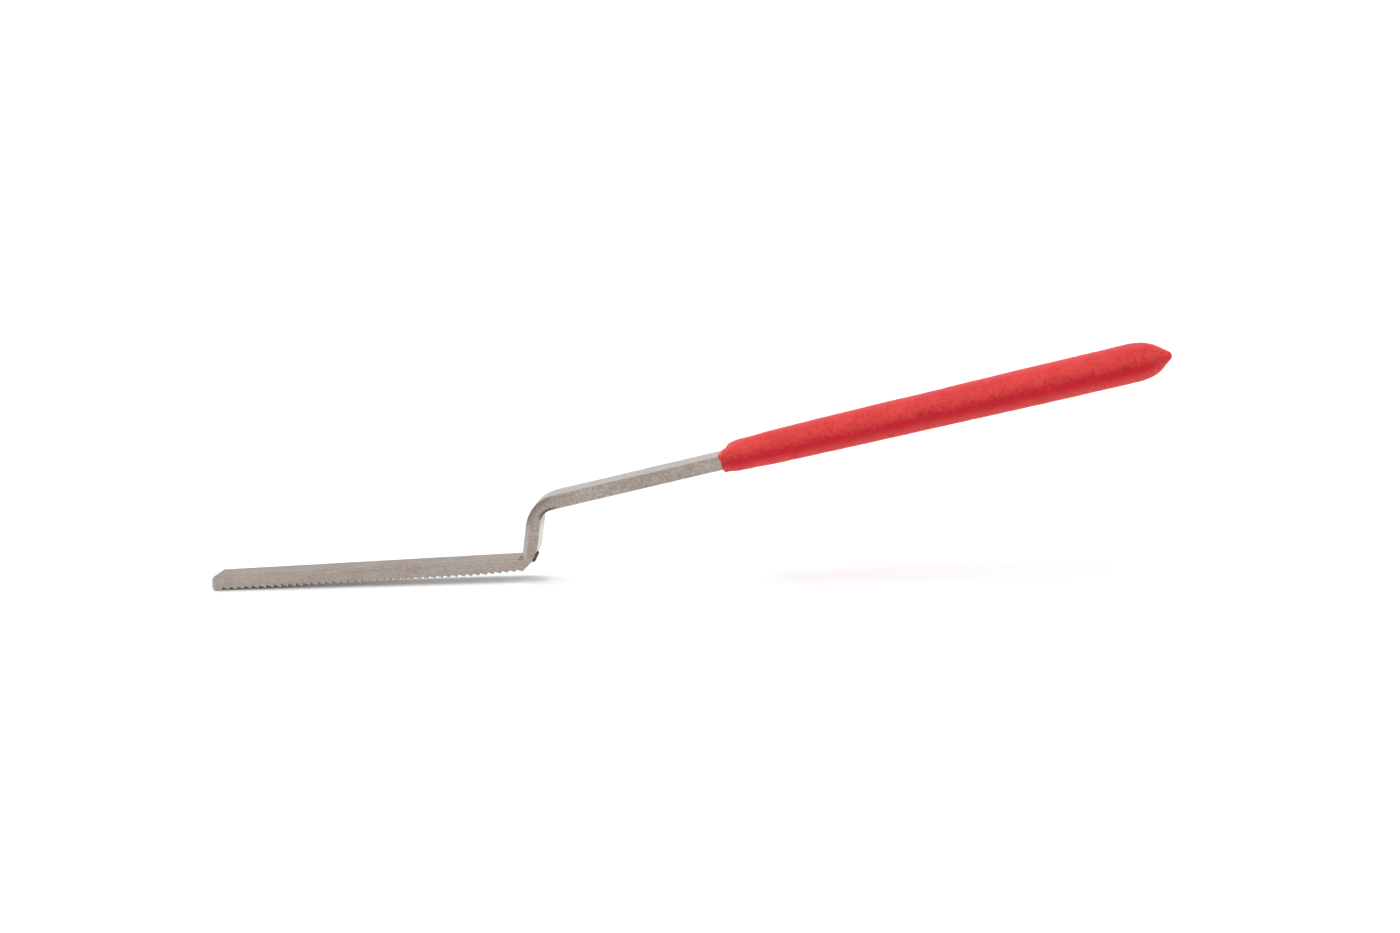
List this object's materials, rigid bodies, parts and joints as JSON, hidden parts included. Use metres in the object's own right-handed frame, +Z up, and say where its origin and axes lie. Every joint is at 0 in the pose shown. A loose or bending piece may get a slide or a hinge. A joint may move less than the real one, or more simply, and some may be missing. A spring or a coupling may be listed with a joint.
{
  "type": "notched trowel",
  "caption": "Narrow notched bar trowel: a toothed square steel blade on an offset cranked neck, with a long dipped vinyl grip.",
  "frame": {"origin": "on the plane of the tooth tips, under the middle of the tool's whole length and width", "axes": "+X from the blade's tip towards the grip's end, +Y across the bar towards its far side, +Z up from the tooth tips"},
  "size_m": [0.3462, 0.0104, 0.0665],
  "materials": {
    "blade_steel": "bare cold-drawn steel, brushed along its length, brownish grey, with dark notches",
    "shank_steel": "bare cold-drawn steel with a mottled, slightly sandy surface and lighter upper faces",
    "weld_oxide": "dark heat-scaled weld metal, rough",
    "vinyl_lip": "thin first dip of red vinyl, smooth and slightly glossy",
    "vinyl": "thick red foamed vinyl dip, matte with a fine pebbled skin"
  },
  "bodies": {
    "root": {"blade": "blade_steel", "shank": "shank_steel", "outer_weld_bead": "weld_oxide", "inner_weld_fillet": "shank_steel", "grip_base_coat": "vinyl_lip", "grip": "vinyl"}
  },
  "joints": []
}
